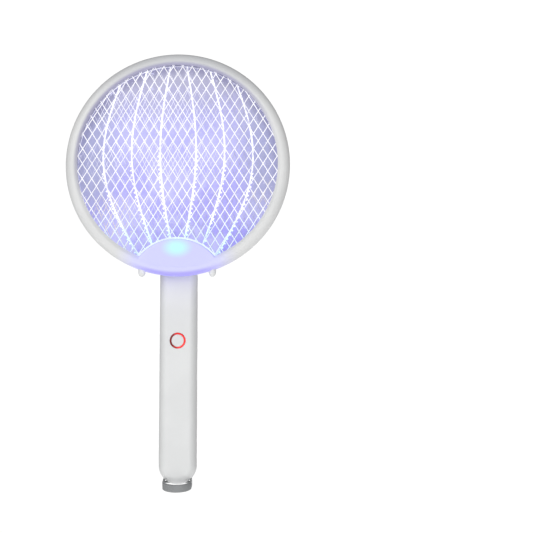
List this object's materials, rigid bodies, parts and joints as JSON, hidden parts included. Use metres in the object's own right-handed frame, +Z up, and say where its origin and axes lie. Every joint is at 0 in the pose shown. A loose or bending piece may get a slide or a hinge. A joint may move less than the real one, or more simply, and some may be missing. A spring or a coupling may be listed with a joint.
{
  "type": "electric fly swatter",
  "caption": "Round netted zapper head with an ultraviolet lamp in its chin, swivelling on a pivot at the end of a slim handle with a slide, two press buttons and a hanging loop.",
  "frame": {"origin": "middle of the grip, on the handle's centre line, halfway along the handle", "axes": "+Z up along the handle towards the head; -Y is the front, where the round button is; +X is the side with the slide and the long button"},
  "size_m": [0.215, 0.0476, 0.4186],
  "materials": {
    "shell_white": "satin moulded",
    "control_white": "satin moulded",
    "net_white": "glossy moulded",
    "spacer_white": "satin moulded",
    "grid_steel": "bright wire",
    "screw_steel": "zinc plated",
    "contact_steel": "nickel plated",
    "screen_lavender": "fine woven mesh",
    "lamp_lens": "clear moulded",
    "led_violet": "clear resin over a lit die",
    "light_ring_red": "translucent, lit",
    "loop_grey": "satin moulded",
    "switch_black": "matt",
    "board_green": "solder mask",
    "transformer_yellow": "wound with tape",
    "capacitor_blue": "dipped",
    "cell_blue": "printed film over the can"
  },
  "bodies": {
    "handle": {"handle_front_shell": "shell_white", "handle_back_shell": "shell_white", "handle_screw_1": "screw_steel", "handle_screw_2": "screw_steel", "handle_screw_3": "screw_steel", "light_ring": "light_ring_red", "front_press_switch": "switch_black", "slide_bezel": "control_white", "slide_switch": "contact_steel", "side_press_switch": "switch_black", "battery_cell": "cell_blue", "battery_contact": "contact_steel", "battery_spring": "contact_steel", "main_board": "board_green", "hv_transformer": "transformer_yellow", "hv_capacitor": "capacitor_blue", "charge_socket": "contact_steel", "pivot_disc": "shell_white"},
    "head": {"pivot_tube": "shell_white", "spring_washer": "screw_steel", "retaining_clip": "screw_steel", "lead_bundle": "switch_black", "ring_front_shell": "shell_white", "ring_back_shell": "shell_white", "head_screw_1": "screw_steel", "head_screw_2": "screw_steel", "head_screw_3": "screw_steel", "head_screw_4": "screw_steel", "front_guard": "net_white", "grid_spacer_front": "spacer_white", "hv_grid_front": "grid_steel", "grid_spacer_rear": "spacer_white", "hv_grid_rear": "grid_steel", "rib_frame": "net_white", "fine_screen": "screen_lavender", "back_guard": "net_white", "lamp_lens": "lamp_lens", "lamp_board": "board_green", "uv_led_1": "led_violet", "uv_led_2": "led_violet", "uv_led_3": "led_violet", "foot_left": "shell_white", "foot_right": "shell_white"},
    "loop": {"hanging_loop": "loop_grey"},
    "slide": {"slide_knob": "control_white"},
    "side_key": {"side_button": "control_white"},
    "front_key": {"front_button": "control_white"}
  },
  "joints": [
    {"name": "head_fold", "type": "hinge", "parent": "handle", "child": "head", "pos_m": [0, 0, 0.102], "axis": [0, 1, 0], "range_deg": [0, 180]},
    {"name": "loop_swing", "type": "hinge", "parent": "handle", "child": "loop", "pos_m": [0, 0, -0.1113], "axis": [1, 0, 0], "range_deg": [-0.5, 153]},
    {"name": "power_slide", "type": "slide", "parent": "handle", "child": "slide", "axis": [0, 0, 1], "range_m": [-0.006, 0.011]},
    {"name": "side_button_press", "type": "slide", "parent": "handle", "child": "side_key", "axis": [-1, 0, 0], "range_m": [0, 0.0008], "stiffness_N_per_m": 600},
    {"name": "front_button_press", "type": "slide", "parent": "handle", "child": "front_key", "axis": [0, 1, 0], "range_m": [0, 0.0006], "stiffness_N_per_m": 600}
  ]
}
